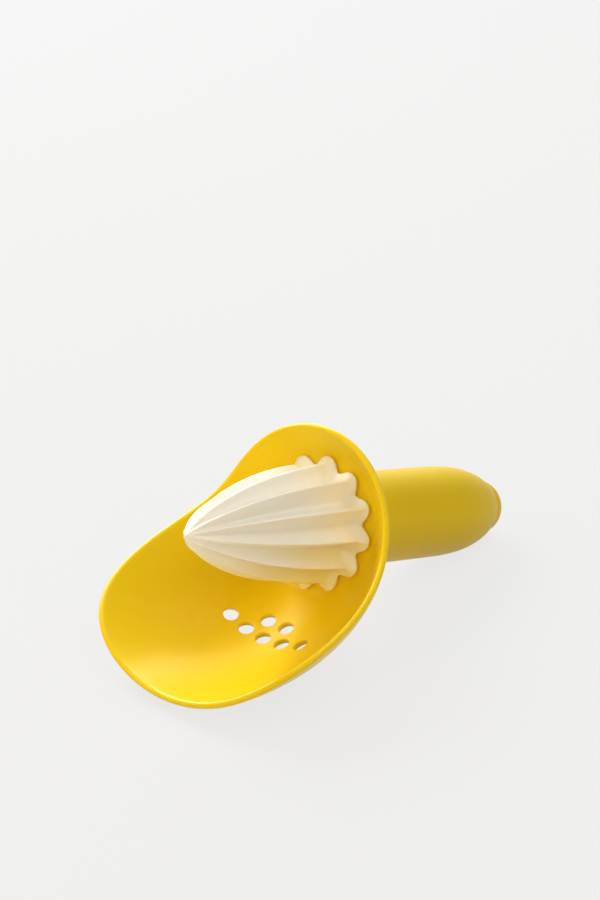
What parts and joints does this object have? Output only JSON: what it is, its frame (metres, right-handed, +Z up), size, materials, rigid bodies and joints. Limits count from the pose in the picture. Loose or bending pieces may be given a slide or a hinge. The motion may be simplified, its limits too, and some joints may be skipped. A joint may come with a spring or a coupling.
{
  "type": "hand citrus juicer",
  "caption": "Hand-held citrus juicer: a fluted reamer standing in a bell-shaped scoop with drain holes and a pouring lip, on a barrel-shaped soft-skinned handle.",
  "frame": {"origin": "middle of the small flat under the scoop's belly, in the plane of the table that the tool lies on", "axes": "+X along the tool towards the scoop's pouring lip, +Y to the left seen from the handle, +Z up from the table"},
  "size_m": [0.1747, 0.0908, 0.0716],
  "materials": {
    "reamer_plastic": "satin, warm white",
    "seal_silicone": "matt, clear grey",
    "scoop_plastic": "satin gloss, yellow",
    "core_plastic": "as moulded, dull yellow",
    "soft_skin": "soft satin, yellow",
    "cap_plastic": "satin, yellow",
    "screw_steel": "plain stainless"
  },
  "bodies": {
    "root": {"reamer_head": "reamer_plastic", "reamer_seal": "seal_silicone", "scoop_bowl": "scoop_plastic", "handle_core": "core_plastic", "handle_grip": "soft_skin", "end_cap": "cap_plastic", "tie_screw": "screw_steel", "screw_washer": "screw_steel"}
  },
  "joints": []
}
